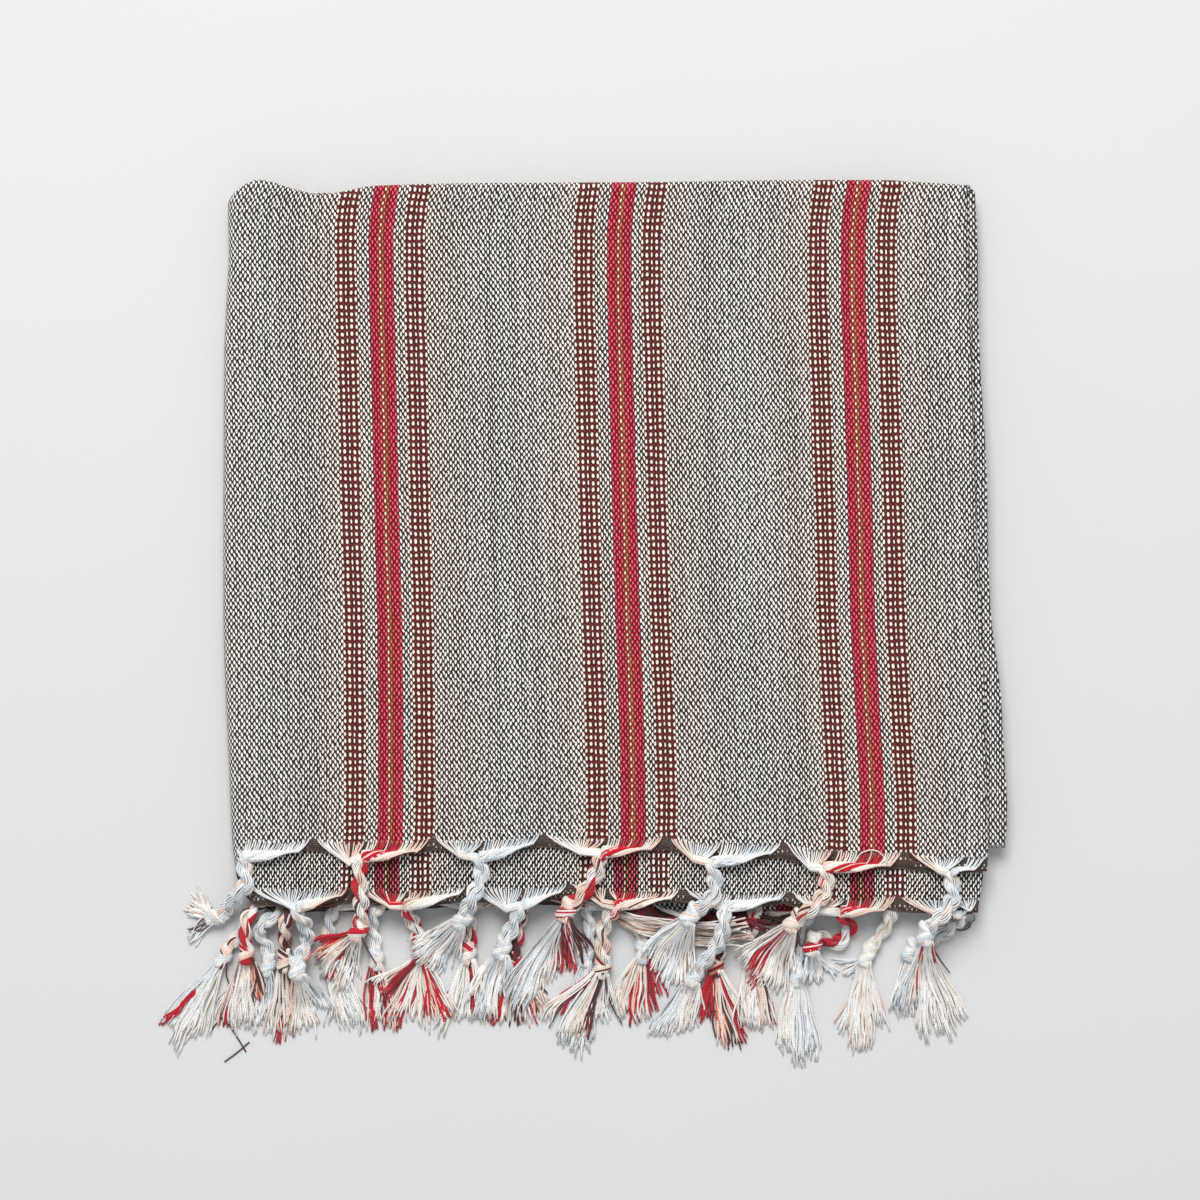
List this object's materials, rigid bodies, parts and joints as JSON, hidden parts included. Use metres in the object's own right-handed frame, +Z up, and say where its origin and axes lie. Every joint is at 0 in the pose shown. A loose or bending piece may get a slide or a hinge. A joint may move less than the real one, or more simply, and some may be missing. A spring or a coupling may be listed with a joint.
{
  "type": "hammam towel",
  "caption": "Flat-woven hammam towel with lengthwise stripes, folded into a flat square stack, with knotted cords and loose tassels along its hems.",
  "frame": {"origin": "middle of the folded towel's footprint, on the plane that it lies on", "axes": "+Z up from the surface, +Y from the fringe towards the creases, +X across the towel, away from the soft fold"},
  "size_m": [0.5038, 0.5326, 0.0254],
  "materials": {
    "cloth_weave": "matt woven cotton",
    "fringe_a_upper_yarn": "matt cotton yarn",
    "fringe_b_upper_yarn": "matt cotton yarn",
    "fringe_b_lower_yarn": "matt cotton yarn",
    "fringe_a_lower_yarn": "matt cotton yarn"
  },
  "bodies": {
    "root": {"cloth": "cloth_weave", "fringe_a_upper": "fringe_a_upper_yarn", "fringe_b_upper": "fringe_b_upper_yarn", "fringe_b_lower": "fringe_b_lower_yarn", "fringe_a_lower": "fringe_a_lower_yarn"}
  },
  "joints": []
}
